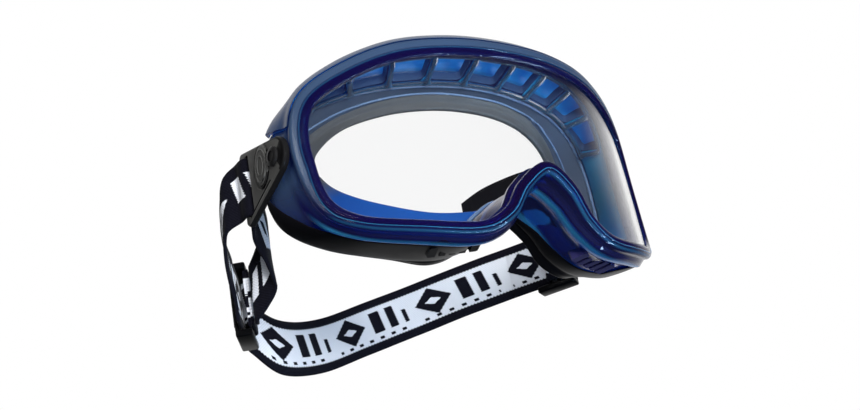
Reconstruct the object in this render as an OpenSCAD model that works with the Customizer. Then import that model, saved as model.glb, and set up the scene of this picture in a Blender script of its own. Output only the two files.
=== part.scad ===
// Ventilated splash goggles: a curved lens in a moulded frame, a soft face skirt,
// two strap clips on side pins and a webbing strap with two sliders.
// The lens faces -Y, +X is the wearer's left and +Z is up. The origin is on the midplane,
// where the lip meets the face.

/* [Lens] */
// Radius of the lens cylinder
lens_r = 104; // [98:1:112]
// Thickness of the lens
lens_t = 2; // [1.4:0.1:2.4]
// Height of the lens edge above the origin, at the middle
lens_top = 45; // [42:0.5:47]

/* [Frame] */
// Wall thickness of the frame
wall = 2.6; // [2.2:0.1:3]
// How far the rim laps over the edge of the lens
rim_in = 4.2; // [3.6:0.1:4.6]
// How far the rim stands out round the lens
rim_out = 3.2; // [2.8:0.1:4]
// Depth from the lens to the back of the frame, at the middle
frame_depth = 27; // [25:0.5:28]
// Number of vent windows on each side of the middle one
side_windows = 4; // [3:1:4]

/* [Face] */
// Depth from the lens to the face lip, at the middle
lip_depth = 31; // [29:0.5:34]
// Thickness of the face skirt
skirt_t = 2; // [1.6:0.1:2.4]

/* [Clips and pins] */
// Radius of the pivot pins
pin_r = 2.5; // [2:0.1:3]
// Running clearance of the clips on the pins
pin_gap = 0.06; // [0.03:0.01:0.1]
// Thickness of the strap clips
clip_t = 3; // [2.6:0.1:3.4]

/* [Strap] */
// Width of the webbing
strap_w = 25; // [23:0.5:25]
// Thickness of the webbing
strap_t = 1.4; // [1.2:0.1:1.5]

/* [Hidden] */

steps = 3;              // stations between two outline points
last = 13;              // index of the outline point at the nose, on the midplane
flare = 0.075;          // growth of the lens radius with height
rake = 0.08;            // backward lean of the lens with height
gap = 0.1;              // glue line between skirt and frame
seat = 0.15;            // gap between lens and groove
cheek = 8;              // how far the face falls back beside the nose
nose_out = 5;           // how far the rim stands forward over the nose
half_width = 87;        // half the width of the frame at its back edge
back_sweep = 40;        // how far the back edge sweeps back at the half width
face_half = 70;         // half the width of the face
face_round = 38;        // how far the face falls back at its half width
face_lean = 0.07;       // backward lean of the face with height
eye_back = 4;           // how far the opening lies behind the lip

// Half outlines from the top middle (index 0) to the nose middle (index 13).
// Lens edge: arc length from the middle, and height
LENS = [[0, lens_top], [24, lens_top], [46, lens_top - 1.5], [66, 38], [82, 30.5], [89, 19],
        [90.5, 2], [86.5, -17], [74, -27], [52, -33], [32, -35.5], [20, -30], [12, -19], [0, -11]];
// Back edge of the frame: x and z
BACK = [[0, 44], [20.5, 43.6], [38.5, 42.8], [53.5, 41], [68, 36.5], [79, 26],
        [82, 7], [79.5, -12], [68, -24], [51, -31], [33, -34], [21, -30], [13, -21], [0, -13]];
// Outer lip against the face
LIP = [[0, 41], [21, 41], [41, 38.5], [58, 33], [69, 23], [73, 9],
       [73, -5], [67, -16], [57, -25], [44, -31], [32, -34.5], [21, -31], [13, -22], [0, -15.5]];
// Edge of the face opening
EYE = [[0, 35], [19, 34.5], [36, 33], [50, 29.5], [58.5, 22], [60, 15],
       [58, 8], [54, 2], [47, -4], [38, -9], [29, -12], [21, -13], [11, -12.5], [0, -11]];

// Pivot of the clips, seen from the side
pivot = [18, 11];
boss_x = 82.2;          // outer face of the pivot boss
clip_x = 82.5;          // inner face of the clip
boss_r = 7;
boss_h = 5.5;
pin_in = 3.8;           // depth of the pins in the bosses
head_r = 4;
head_t = 1.4;
slot = [38.5, 43.5];    // front and back of the strap slot in a clip
bar_back = 46.5;        // back of the bar behind the slot
fit = 0.3;              // clearance between pieces that move past each other

// Places where the webbing runs straight through a slider, and its heading from the clip
slider_at = [[-73, 83, -22.5], [81, 67.5, 6]];
heading = [56, 120];
rail_w = 2.9;
slider_l = 18;
bar_l = 3;

function side_index(side) = side < 0 ? 0 : 1;
function unit(v) = v / norm(v);
function mix(a, b, k) = a * (1 - k) + b * k;

// Closed smooth curves through a mirrored half outline
function outline_point(h, i) =
    i < -last ? outline_point(h, i + 2 * last) :
    i > last ? outline_point(h, i - 2 * last) :
    i < 0 ? [-h[-i][0], h[-i][1]] : h[i];
function spline(a, b, c, d, f) =
    0.5 * (2 * b + (c - a) * f + (2 * a - 5 * b + 4 * c - d) * f * f + (3 * b - a - 3 * c + d) * f * f * f);
function curve(h, u) = let (k = floor(u), f = u - k)
    spline(outline_point(h, k - 1), outline_point(h, k), outline_point(h, k + 1), outline_point(h, k + 2), f);
function normal(h, u) = let (t = curve(h, u + 0.05) - curve(h, u - 0.05)) unit([-t[1], t[0]]);
stations = [for (i = [0 : 2 * last * steps - 1]) i / steps - last + 0.001];

// Surfaces: the lens, the back of the frame and the face
function lens_point(p, h) = let (r = lens_r + flare * p[1], a = p[0] / lens_r * 180 / PI)
    [(r + h) * sin(a), r - (r + h) * cos(a) + rake * p[1] - lip_depth, p[1]];
function edge_point(u, out, h) = lens_point(curve(LENS, u) + out * normal(LENS, u), h);
function back_point(u, in) = let (p = curve(BACK, u) - in * normal(BACK, u))
    [p[0], frame_depth - lip_depth + back_sweep * pow(p[0] / half_width, 2), p[1]];
function face_y(p) = face_round * pow(abs(p[0]) / face_half, 2.2) + face_lean * p[1]
    + cheek * max(0, -p[1] - 8) / 26 * exp(-pow(p[0] / 36, 2));
function lip_point(u, in, forward) = let (p = curve(LIP, u) - in * normal(LIP, u))
    [p[0], face_y(p) - forward, p[1]];
function eye_point(u, forward) = let (p = curve(EYE, u)) [p[0], face_y(p) + eye_back - forward, p[1]];
function nose_push(u) = let (d = last - abs(u)) [0, -nose_out * exp(-d * d / 3), 0];

// A skin over rows of section points; an open one is closed by a fan at each end.
// Sections listed the other way round are turned over by flip.
function reverse(v) = [for (i = [len(v) - 1 : -1 : 0]) v[i]];
module skin(sections, closed = true, flip = false) {
    rows = flip ? [for (v = sections) reverse(v)] : sections;
    n = len(rows);
    m = len(rows[0]);
    sides = [for (i = [0 : closed ? n - 1 : n - 2], j = [0 : m - 1])
        let (a = i * m, b = (i + 1) % n * m, k = (j + 1) % m)
        each [[a + j, b + k, a + k], [a + j, b + j, b + k]]];
    ends = closed ? [] : [for (j = [1 : m - 2]) each [[0, j, j + 1],
        [(n - 1) * m, (n - 1) * m + j + 1, (n - 1) * m + j]]];
    polyhedron(points = [for (r = rows) each r], faces = concat(sides, ends));
}

module lens() {
    middle = [0, 14];
    rings = [1, 0.93, 0.72, 0.42, 0.14];
    n = 2 * len(rings);
    m = len(stations);
    function ring(k, h) = [for (u = stations) lens_point(mix(middle, curve(LENS, u), k), h)];
    rows = concat([for (k = rings) ring(k, 0)],
        [for (i = [len(rings) - 1 : -1 : 0]) ring(rings[i], -lens_t)]);
    color("lightcyan", 0.4) polyhedron(
        points = concat([for (r = rows) each r], [lens_point(middle, 0), lens_point(middle, -lens_t)]),
        faces = concat(
            [for (i = [0 : n - 1], j = [0 : m - 1]) if (i != n / 2 - 1)
                let (a = i * m, b = (i + 1) % n * m, k = (j + 1) % m)
                each [[a + j, a + k, b + k], [a + j, b + k, b + j]]],
            [for (j = [0 : m - 1]) [(n / 2 - 1) * m + j, (n / 2 - 1) * m + (j + 1) % m, n * m]],
            [for (j = [0 : m - 1]) [n / 2 * m + (j + 1) % m, n / 2 * m + j, n * m + 1]]));
}

// Lap of the rim over the lens, less along the lower edge
function lap(u) = lookup(abs(u), [[6, rim_in], [8, 1.4]]);
function roof_front(u) = edge_point(u, 0.8, -7.5);
// Section of the frame: rim, outer wall, back edge, inner wall and lens groove
function frame_section(u) = [
    edge_point(u, -lap(u), 1.8) + nose_push(u),
    edge_point(u, rim_out, 1.4) + nose_push(u),
    edge_point(u, rim_out + 2, -3),
    mix(edge_point(u, rim_out + 2, -3), back_point(u, -1.5), 0.55),
    back_point(u, 0),
    back_point(u, wall),
    roof_front(u),
    edge_point(u, -2.5, -6),
    edge_point(u, -2.5, -lens_t - seat),
    edge_point(u, seat, -lens_t - seat),
    edge_point(u, seat, seat),
    edge_point(u, -lap(u), seat)];

function along(s) = sign(s) * lookup(abs(s), [for (i = [0 : 5]) [LENS[i][0], i]]);
rib_at = [9.2, 27.7, 46.2, 65, 83];
function rib_u(i) = i > 0 ? along(rib_at[i - 1]) : -along(rib_at[-i]);
rib_half = 0.06;

// A block between two places along the rim, standing on the inner wall of the roof
function roof_point(u, k, lift) =
    mix(roof_front(u), back_point(u, wall), k) + [0, 0, lift];
function roof_row(u, k1, k2, low, high) = [roof_point(u, k1, low), roof_point(u, k2, low),
    roof_point(u, k2, high), roof_point(u, k1, high)];
module roof_block(u1, u2, k1, k2, low, high) {
    n = max(1, round((u2 - u1) * 3));
    skin([for (i = [0 : n]) roof_row(mix(u1, u2, i / n), k1, k2, low, high)], closed = false);
}

module frame_body() {
    color("royalblue", 0.75) difference() {
        union() {
            skin([for (u = stations) frame_section(u)], flip = true);
            for (side = [-1, 1]) on_pivot(side, boss_x) rotate([180, 0, 0])
                cylinder(r = boss_r, h = boss_h, $fn = 48);
        }
        for (i = [-side_windows : side_windows])
            roof_block(rib_u(i) + rib_half, rib_u(i + 1) - rib_half, 0.04, 0.8, -6, 12);
        for (side = [-1, 1]) {
            on_pivot(side, boss_x + 1) rotate([180, 0, 0])
                cylinder(r = pin_r, h = pin_in + 1, $fn = 48);
            lower_vent_block(side, fit / 2);
        }
    }
}

// Axis of a pivot pointing outward, from a place on the X axis
module on_pivot(side, x) {
    translate([side * x, pivot[0], pivot[1]]) rotate([0, side * 90, 0]) children();
}

// Cover over the roof vents, from the rim up and back
LIFT = [[0, 5.2], [2, 4.5], [3, 4.2], [4, 3.2], [5, 1.4]];
function brow_point(u, k, lift) = let (n = normal(BACK, u))
    mix(edge_point(u, rim_out + 2, -3), back_point(u, -1.5), k) + lift * [n[0], 0, n[1]];
function brow_section(u) = let (lift = lookup(abs(u), LIFT)) [
    edge_point(u, rim_out + 0.4, 1.3),
    brow_point(u, 0.06, 0.6 + lift * 0.62),
    brow_point(u, 0.4, 0.6 + lift),
    brow_point(u, 0.88, 0.6 + lift),
    brow_point(u, 1.02, -0.8),
    brow_point(u, 0.96, -0.8),
    brow_point(u, 0.84, 0.2 + lift * 0.7),
    brow_point(u, 0.4, 0.3 + lift * 0.8),
    brow_point(u, 0.1, 0.3 + lift * 0.4)];
module brow_cover() {
    color("slateblue", 0.7)
        skin([for (i = [-15 : 15]) brow_section(i / 3)], closed = false, flip = true);
}

rail_gap = 0.9;         // clearance between the rail and the roof of the frame
module upper_vent_rail() {
    ends = rib_u(side_windows + 1);
    color("deepskyblue", 0.6) {
        roof_block(-ends, ends, 0.06, 0.16, -2, -rail_gap);
        roof_block(-ends, ends, 0.74, 0.84, -2, -rail_gap);
        for (i = [-side_windows : side_windows + 1])
            roof_block(rib_u(i) - rib_half / 2, rib_u(i) + rib_half / 2, 0.1, 0.8, -2.6, -rail_gap);
    }
}

// Covers of the lower vents, let into the lower wall
module on_lower_vent(side) {
    translate([side * 33, -13, -34.4]) rotate([0, 4 * side, side * 20]) children();
}
module lower_vent_block(side, grow = 0) {
    on_lower_vent(side) hull() for (x = [-9, 9], y = [-3, 3])
        translate([x, y, -4 - grow]) cylinder(r1 = 1 + grow, r2 = 2 + grow, h = 4 + 2 * grow, $fn = 24);
}
module lower_vent_cover(side) {
    color("navy") difference() {
        lower_vent_block(side);
        on_lower_vent(side)
            for (x = [-6, -2, 2, 6]) translate([x - 0.8, -6, -4.2]) cube([1.6, 12, 1.8]);
    }
}

module face_skirt() {
    color([0.07, 0.07, 0.08]) skin([for (u = stations) [
        back_point(u, 0) + [0, gap, 0],
        mix(back_point(u, -1.2), lip_point(u, -0.5, 0), 0.6),
        lip_point(u, 0, 0),
        lip_point(u, skirt_t, 0.5),
        mix(back_point(u, wall - 0.6), lip_point(u, skirt_t, 0), 0.6),
        back_point(u, wall) + [0, gap, 0]]], flip = true);
}

// Soft membrane that lies on the face, from the lip to the edge of the opening
module face_flange() {
    color("cornflowerblue", 0.8) skin([for (u = stations) [
        lip_point(u, skirt_t + fit, 0.6),
        eye_point(u, 0.2),
        eye_point(u, 2.6),
        mix(eye_point(u, 0), lip_point(u, 0, 0), 0.25) - [0, 1.8, 0],
        lip_point(u, skirt_t + 1.4, 1.8)]], flip = true);
}

module pivot_pin(side) {
    shank = pin_in + fit + clip_t + 0.2;
    color("black") on_pivot(side, boss_x - pin_in) {
        cylinder(r = pin_r, h = shank, $fn = 48);
        translate([0, 0, shank]) cylinder(r = head_r, h = head_t, $fn = 48);
    }
}

// Flat clip: a round eye on the pin, widening to a slotted bar for the webbing
slot_z = 10;            // middle height of the strap slot
module clip_outline() {
    hull() {
        translate(pivot) circle(r = 8, $fn = 48);
        for (z = [-1, 1]) translate([bar_back - 2.5, slot_z + z * (strap_w / 2 + 1)]) circle(r = 2.5, $fn = 32);
    }
}
module strap_clip(side) {
    color([0.25, 0.25, 0.25]) translate([side * (clip_x + clip_t / 2), 0, 0]) difference() {
        rotate([90, 0, 90]) linear_extrude(clip_t, center = true) clip_outline();
        translate([-clip_t, slot[0], slot_z - strap_w / 2 - 0.4])
            cube([2 * clip_t, slot[1] - slot[0], strap_w + 0.8]);
        translate([0, pivot[0], pivot[1]]) rotate([0, 90, 0])
            cylinder(r = pin_r + pin_gap, h = 2 * clip_t, center = true, $fn = 48);
    }
}

// Frame of the webbing at a slider: u runs from the clip, n points away from the head
module at_slider(side) {
    i = side_index(side);
    translate(slider_at[i]) rotate([0, 0, heading[i]]) scale([1, -side, 1]) children();
}
function along_strap(side, u, n) = let (i = side_index(side), a = heading[i])
    slider_at[i] + u * [cos(a), sin(a), 0] + n * [side * sin(a), -side * cos(a), 0];

module strap_slider(side) {
    h = strap_w + 2 * fit + 0.6;
    color([0.1, 0.1, 0.1]) at_slider(side) {
        for (k = [-1, 1])
            translate([-slider_l / 2, -4.4, k > 0 ? h / 2 : -h / 2 - rail_w])
                cube([slider_l, 7, rail_w]);
        for (u = [-slider_l / 2, slider_l / 2 - bar_l])
            translate([u, strap_t / 2 + fit, -h / 2 - 0.1])
                cube([bar_l, 2.6 - strap_t / 2 - fit, h + 0.2]);
        translate([-bar_l / 2, -4.2, -h / 2 - 0.1]) cube([bar_l, 1.8, h + 0.2]);
    }
}

// Webbing: each route point is x, y, z and the pitch of the width from upright
function route_point(r, i) = r[max(0, min(len(r) - 1, i))];
function smooth(r, m) = [for (i = [0 : len(r) - 2], j = [0 : m - 1])
    spline(route_point(r, i - 1), r[i], r[i + 1], route_point(r, i + 2), j / m), r[len(r) - 1]];
function xyz(p) = [p[0], p[1], p[2]];
function ribbon_row(q, i, w, t) = let (
    way = unit(xyz(route_point(q, i + 1)) - xyz(route_point(q, i - 1))),
    flat_way = unit([way[0], way[1], 0]),
    p = q[i],
    across = (cos(p[3]) * [0, 0, 1] + sin(p[3]) * flat_way) * w / 2,
    thick = unit(cross(way, across)) * t / 2)
    [for (k = [[-1, -1], [1, -1], [1, 1], [-1, 1]]) xyz(p) + k[0] * across + k[1] * thick];
module ribbon(route, m, w = strap_w, t = strap_t) {
    q = smooth(route, m);
    skin([for (i = [0 : len(q) - 1]) ribbon_row(q, i, w, t)], closed = false);
}
function upright(p) = concat(p, [0]);

BACK_ROUTE = [[-46, 104, -30, 0], [-22, 112, -25, 0], [5, 115, -14, 0],
              [32, 111, -4, 0], [52, 100, 2, 0]];
band_route = concat(
    [for (u = [-16, 0, 16, 22]) upright(along_strap(-1, u, 0))],
    BACK_ROUTE,
    [for (u = [25, 19, 0, -10]) upright(along_strap(1, u, 0))]);
// Webbing from the slider to the clip, round its bar and back to the sewn end
loop_x = clip_x + clip_t / 2;
bend = clip_t / 2 + strap_t / 2 + fit;
function round_bar(side) = [for (p = [[bend, 4.5], [bend, 0.6], [bend * 0.75, -1.5], [0, -2.4],
    [-bend * 0.75, -1.5], [-bend, 0.6], [-bend, 4.5]])
    [side * (loop_x + p[0]), slot[1] + p[1], slot_z, 0]];
RIGHT_OUT = [[-84, 66.5, -20, 10], [-87.5, 62.5, -11, 18], [-90, 57.5, -1.5, 14], [-90.5, 52.5, 6.5, 6]];
RIGHT_IN = [[-79, 52.5, 6, 8], [-73.5, 55, -3, 12], [-70, 59.5, -11, 12], [-72, 64.5, -18, 8]];
right_route = concat([upright(along_strap(-1, -16.5, 0))], RIGHT_OUT, round_bar(-1), RIGHT_IN,
    [for (u = [-12, -9]) upright(along_strap(-1, u, -6.9))]);
left_route = concat([upright(along_strap(1, -11, 0))], round_bar(1),
    [for (u = [-11, -9]) upright(along_strap(1, u, -6.4))]);
// Sewn end: round the middle bar of the slider, then back along itself
END_ROUTE = [[-9, -4.9], [-2, -4.9], [1.8, -4.9], [3, -4.2], [3, -2.3], [1.8, -1.65], [-2, -1.65],
             [-4.5, -3.2], [-8.5, -3.62]];
// Free end of the webbing, folded back on the inner side of the left slider
tail_w = 20;
TAIL_ROUTE = [[73.25, 65.3, 10.5, 0], [75.5, 58, 16.5, 0], [75.5, 51, 22.5, 0], [72.5, 46.5, 27.5, 0],
              [68.5, 48, 30.5, 0], [66, 55, 32.5, 0], [63.5, 68, 35, 0], [61, 84, 37, 0], [59, 98, 36.5, 0]];

module strap_band() { color([0.75, 0.78, 0.82]) ribbon(band_route, 3); }
module strap_loop(side) {
    color([0.7, 0.73, 0.78]) ribbon(side < 0 ? right_route : left_route, 2);
}
module strap_end(side) {
    color([0.1, 0.1, 0.12])
        ribbon([for (p = END_ROUTE) upright(along_strap(side, p[0], p[1]))], 2, strap_w - 0.6, 1.2);
}

module strap_tail() { color([0.08, 0.08, 0.12]) ribbon(TAIL_ROUTE, 2, tail_w); }

lens();
frame_body();
brow_cover();
upper_vent_rail();
lower_vent_cover(-1);  // lower_vent_cover_right
lower_vent_cover(1);  // lower_vent_cover_left
face_skirt();
face_flange();
pivot_pin(-1);  // pivot_pin_right
pivot_pin(1);  // pivot_pin_left
strap_clip(-1);  // strap_clip_right
strap_clip(1);  // strap_clip_left
strap_slider(-1);  // strap_slider_right
strap_slider(1);  // strap_slider_left
strap_band();
strap_loop(-1);  // strap_loop_right
strap_loop(1);  // strap_loop_left
strap_end(-1);  // strap_end_right
strap_end(1);  // strap_end_left
strap_tail();  // strap_tail_left
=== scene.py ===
import math

import bmesh
import bpy
import numpy as np
from mathutils import Matrix, Vector


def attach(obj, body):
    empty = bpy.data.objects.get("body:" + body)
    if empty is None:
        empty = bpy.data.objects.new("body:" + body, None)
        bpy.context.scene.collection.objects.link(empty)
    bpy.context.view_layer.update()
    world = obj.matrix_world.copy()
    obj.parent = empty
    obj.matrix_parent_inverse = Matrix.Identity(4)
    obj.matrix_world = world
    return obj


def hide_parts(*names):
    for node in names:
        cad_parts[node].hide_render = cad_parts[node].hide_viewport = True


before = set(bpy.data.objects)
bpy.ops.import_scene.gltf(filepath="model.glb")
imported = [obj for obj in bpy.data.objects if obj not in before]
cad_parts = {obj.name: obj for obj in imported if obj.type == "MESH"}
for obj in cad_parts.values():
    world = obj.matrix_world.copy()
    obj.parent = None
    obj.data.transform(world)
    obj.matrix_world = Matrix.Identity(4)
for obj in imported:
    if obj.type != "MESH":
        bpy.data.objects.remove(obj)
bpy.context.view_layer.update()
MM = 0.001

# ---------------------------------------------------------------- camera, world and lights
EYE_AT = Vector((-353.64, -448.38, -272.55)) * MM
VIEW = Vector((0.52919515, 0.73419186, 0.42534081))
RIGHT = Vector((0.84294869, -0.51215587, -0.16472363))
UP = Vector((-0.09690204, -0.44571143, 0.88991647))
FOCAL_PX, WIDE_PX, SENSOR = 1586.96, 860, 36.0
cam_data = bpy.data.cameras.new("camera")
cam = bpy.data.objects.new("camera", cam_data)
bpy.context.scene.collection.objects.link(cam)
cam_data.sensor_width = SENSOR
cam_data.lens = FOCAL_PX / WIDE_PX * SENSOR
cam_data.clip_start, cam_data.clip_end = 0.01, 30
turn = Matrix((RIGHT, UP, -VIEW)).transposed().to_4x4()
cam.matrix_world = Matrix.Translation(EYE_AT) @ turn
bpy.context.scene.camera = cam
bpy.context.scene.view_settings.view_transform = "Standard"

world = bpy.data.worlds.new("studio")
bpy.context.scene.world = world
world.use_nodes = True
wn = world.node_tree
wn.nodes.clear()


def link(nt, a, b):
    nt.links.new(a, b)


w_coord = wn.nodes.new("ShaderNodeTexCoord")
w_dot = wn.nodes.new("ShaderNodeVectorMath")
w_dot.operation = "DOT_PRODUCT"
w_dot.inputs[1].default_value = Vector((0.45, 0.75, 0.48)).normalized()
w_map = wn.nodes.new("ShaderNodeMapRange")
w_map.interpolation_type = "SMOOTHSTEP"
w_map.inputs["From Min"].default_value = 0.5
w_map.inputs["From Max"].default_value = 0.92
w_map.inputs["To Min"].default_value = 0.05
w_map.inputs["To Max"].default_value = 1.0
w_path = wn.nodes.new("ShaderNodeLightPath")
w_max = wn.nodes.new("ShaderNodeMath")
w_max.operation = "MAXIMUM"
w_bg = wn.nodes.new("ShaderNodeBackground")
w_out = wn.nodes.new("ShaderNodeOutputWorld")
w_bg.inputs["Color"].default_value = (1, 1, 1, 1)
link(wn, w_coord.outputs["Generated"], w_dot.inputs[0])
link(wn, w_dot.outputs["Value"], w_map.inputs["Value"])
link(wn, w_map.outputs[0], w_max.inputs[0])
link(wn, w_path.outputs["Is Camera Ray"], w_max.inputs[1])
link(wn, w_max.outputs[0], w_bg.inputs["Strength"])
link(wn, w_bg.outputs[0], w_out.inputs["Surface"])


def softbox(name, at, aim, size, power, glossy=False, colour=(1, 1, 1)):
    data = bpy.data.lights.new(name, "AREA")
    data.shape = "RECTANGLE"
    data.size, data.size_y, data.energy, data.color = size[0], size[1], power, colour
    ob = bpy.data.objects.new(name, data)
    bpy.context.scene.collection.objects.link(ob)
    ob.location = at
    ob.rotation_mode = "QUATERNION"
    ob.rotation_quaternion = (Vector(aim) - Vector(at)).to_track_quat("-Z", "Y")
    ob.visible_camera = False
    ob.visible_glossy = glossy
    ob.visible_transmission = glossy


CENTRE = (0, 0.03, 0)
softbox("key", (-0.75, -0.55, 0.75), CENTRE, (0.5, 0.5), 5)
softbox("front", (-0.3, -0.95, -0.2), CENTRE, (0.6, 0.4), 5)
softbox("top", (0.1, 0.1, 1.0), CENTRE, (0.9, 0.7), 5)
softbox("inside", (-0.18, -0.6, -0.06), (0.075, 0, 0.01), (0.25, 0.2), 6)
softbox("behind", (0.3, 1.0, 0.4), CENTRE, (0.9, 0.7), 5)
SKY = (0.45, 0.7, 1.0)
softbox("strip_low", (0.26, -0.12, -0.31), CENTRE, (0.03, 0.25), 0.8, True, SKY)
softbox("strip_front", (0.27, -0.33, -0.29), CENTRE, (0.02, 0.25), 0.7, True, SKY)
softbox("strip_under", (-0.02, -0.2, -0.33), CENTRE, (0.3, 0.02), 0.4, True, SKY)
softbox("strip_left", (-0.8, -0.2, 0.15), CENTRE, (0.04, 0.7), 1.0, True)

FLOOR_HALF, FLOOR_Z = 6, -0.34
floor_mesh = bpy.data.meshes.new("floor")
corners = [(x * FLOOR_HALF, y * FLOOR_HALF, FLOOR_Z) for x, y in ((-1, -1), (1, -1), (1, 1), (-1, 1))]
floor_mesh.from_pydata(corners, [], [(0, 1, 2, 3)])
floor = bpy.data.objects.new("floor", floor_mesh)
bpy.context.scene.collection.objects.link(floor)
floor.visible_glossy = False
floor.visible_diffuse = False


# ---------------------------------------------------------------- materials
def material(name):
    m = bpy.data.materials.new(name)
    m.use_nodes = True
    m.node_tree.nodes.clear()
    return m, m.node_tree


def node(nt, kind, **values):
    n = nt.nodes.new(kind)
    for k, v in values.items():
        setattr(n, k, v)
    return n


def put(n, **values):
    for k, v in values.items():
        n.inputs[k.replace("_", " ")].default_value = v
    return n


def math_node(nt, operation, a, b=None, c=None, clamp=False):
    n = node(nt, "ShaderNodeMath", operation=operation, use_clamp=clamp)
    for i, v in enumerate((a, b, c)):
        if v is None:
            continue
        if isinstance(v, (int, float)):
            n.inputs[i].default_value = v
        else:
            link(nt, v, n.inputs[i])
    return n.outputs[0]


def noise(nt, scale, detail=3.0, where="Object"):
    tc = node(nt, "ShaderNodeTexCoord")
    n = node(nt, "ShaderNodeTexNoise")
    put(n, Scale=scale, Detail=detail)
    link(nt, tc.outputs[where], n.inputs["Vector"])
    return n.outputs["Fac"]


def mix_colour(nt, fac, a, b):
    n = node(nt, "ShaderNodeMix", data_type="RGBA")
    # the colour sockets of a Mix node sit behind those of the other types
    colours = [s for s in n.inputs if s.type == "RGBA"]
    for sock, v in zip([n.inputs["Factor"]] + colours, (fac, a, b)):
        if isinstance(v, (int, float)):
            sock.default_value = v
        elif isinstance(v, tuple):
            sock.default_value = (*v[:3], 1)
        else:
            link(nt, v, sock)
    return [s for s in n.outputs if s.type == "RGBA"][0]


def mix_shader(nt, share, a, b):
    n = node(nt, "ShaderNodeMixShader")
    if isinstance(share, (int, float)):
        n.inputs[0].default_value = share
    else:
        link(nt, share, n.inputs[0])
    link(nt, a, n.inputs[1])
    link(nt, b, n.inputs[2])
    return n.outputs[0]


def object_xyz(nt):
    """Outputs X, Y and Z of the place on the object, in metres."""
    n = node(nt, "ShaderNodeSeparateXYZ")
    link(nt, node(nt, "ShaderNodeTexCoord").outputs["Object"], n.inputs[0])
    return n.outputs


def bump(nt, height, strength, distance):
    n = node(nt, "ShaderNodeBump")
    put(n, Strength=strength, Distance=distance)
    link(nt, height, n.inputs["Height"])
    return n.outputs["Normal"]


def clear_plastic(name, tint, absorb=None, density=0.0, rough=0.06, shade=(1, 1, 1), haze=None,
                  haze_share=0.0, temple=None, temple_share=0.0, lit=None, toned=False,
                  painted_glow=(0.06, 0.5, 0.88)):
    """Translucent moulding: glass-like skin, colour by depth, and a milky share that is lit from both sides.
    The milky share and its colour follow the tone attribute (0 temple, 1 haze, 2 glow, the painted light
    colour for painted highlights and painted light shining through) when toned, and otherwise change from
    haze to temple towards the temples, where the real moulding is satin."""
    m, nt = material(name)
    out = node(nt, "ShaderNodeOutputMaterial")
    p = node(nt, "ShaderNodeBsdfPrincipled")
    put(p, Base_Color=(*tint, 1), Roughness=rough, IOR=1.46, Transmission_Weight=1.0)
    surface = p.outputs[0]
    if haze:
        link(nt, bump(nt, noise(nt, 260.0, 2.0), 0.2, 0.00003), p.inputs["Normal"])
        uneven = math_node(nt, "MULTIPLY_ADD", noise(nt, 60.0), 0.1, rough - 0.04, clamp=True)
        link(nt, uneven, p.inputs["Roughness"])
        through = put(node(nt, "ShaderNodeBsdfTranslucent"), Color=(*lit, 1))
        if toned:
            tone = node(nt, "ShaderNodeAttribute", attribute_name="tone").outputs["Fac"]
            dim = math_node(nt, "MULTIPLY", tone, 1.0, clamp=True)
            line = math_node(nt, "SUBTRACT", tone, 1.0, clamp=True)
            # painted light: towards tone 2 the milky colour turns to the glow azure, painted highlights and
            # painted light shining through
            colour = mix_colour(nt, line, mix_colour(nt, dim, temple, haze), painted_glow)
            share = math_node(nt, "MULTIPLY_ADD", dim, -0.5, haze_share + temple_share)
            share = math_node(nt, "MULTIPLY_ADD", line, 0.45, share)
            back_light = mix_colour(nt, line, tuple(0.8 * c for c in temple), painted_glow)
            link(nt, back_light, through.inputs["Color"])
        else:
            xyz = object_xyz(nt)
            out_x = math_node(nt, "ABSOLUTE", xyz["X"])
            side = math_node(nt, "MULTIPLY_ADD", out_x, 110.0, -7.9, clamp=True)
            behind = math_node(nt, "MULTIPLY_ADD", xyz["Y"], 160.0, 0.3, clamp=True)
            at_temple = math_node(nt, "MULTIPLY", side, behind)
            colour = mix_colour(nt, at_temple, haze, temple)
            share = math_node(nt, "MULTIPLY_ADD", at_temple, temple_share, haze_share)
        dark = mix_colour(nt, 0.2, colour, (0.0, 0.0, 0.02))
        colour = mix_colour(nt, noise(nt, 45.0), colour, dark)
        d = put(node(nt, "ShaderNodeBsdfPrincipled"), Roughness=0.2)
        link(nt, colour, d.inputs["Base Color"])
        surface = mix_shader(nt, share, surface, mix_shader(nt, 0.5, d.outputs[0], through.outputs[0]))
    path = node(nt, "ShaderNodeLightPath")
    see = put(node(nt, "ShaderNodeBsdfTransparent"), Color=(*shade, 1))
    seen = mix_shader(nt, path.outputs["Is Shadow Ray"], surface, see.outputs[0])
    link(nt, seen, out.inputs["Surface"])
    if absorb:
        v = put(node(nt, "ShaderNodeVolumeAbsorption"), Color=(*absorb, 1), Density=density)
        link(nt, v.outputs[0], out.inputs["Volume"])
    return m


def moulded(name, colour, rough=0.4, grain=0.00006, grain_scale=1400.0, vary=0.25, wear=0.0, gloss=0.5):
    """Opaque moulded plastic or rubber with a fine grain, slight mottling and worn edges."""
    m, nt = material(name)
    out = node(nt, "ShaderNodeOutputMaterial")
    p = put(node(nt, "ShaderNodeBsdfPrincipled"), Specular_IOR_Level=gloss)
    low = tuple(c * (1 - vary) for c in colour)
    col = mix_colour(nt, noise(nt, 90.0, 4.0), colour, low)
    if wear:
        geo = node(nt, "ShaderNodeNewGeometry")
        edge = math_node(nt, "MULTIPLY_ADD", geo.outputs["Pointiness"], 14.0, -7.35, clamp=True)
        worn = tuple(min(1, c * 2.2 + 0.05) for c in colour)
        col = mix_colour(nt, math_node(nt, "MULTIPLY", edge, wear), col, worn)
    link(nt, col, p.inputs["Base Color"])
    uneven = math_node(nt, "MULTIPLY_ADD", noise(nt, 160.0), 0.2, rough - 0.1, clamp=True)
    link(nt, uneven, p.inputs["Roughness"])
    link(nt, bump(nt, noise(nt, grain_scale, 2.0), 0.35, grain), p.inputs["Normal"])
    link(nt, p.outputs[0], out.inputs["Surface"])
    return m


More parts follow.
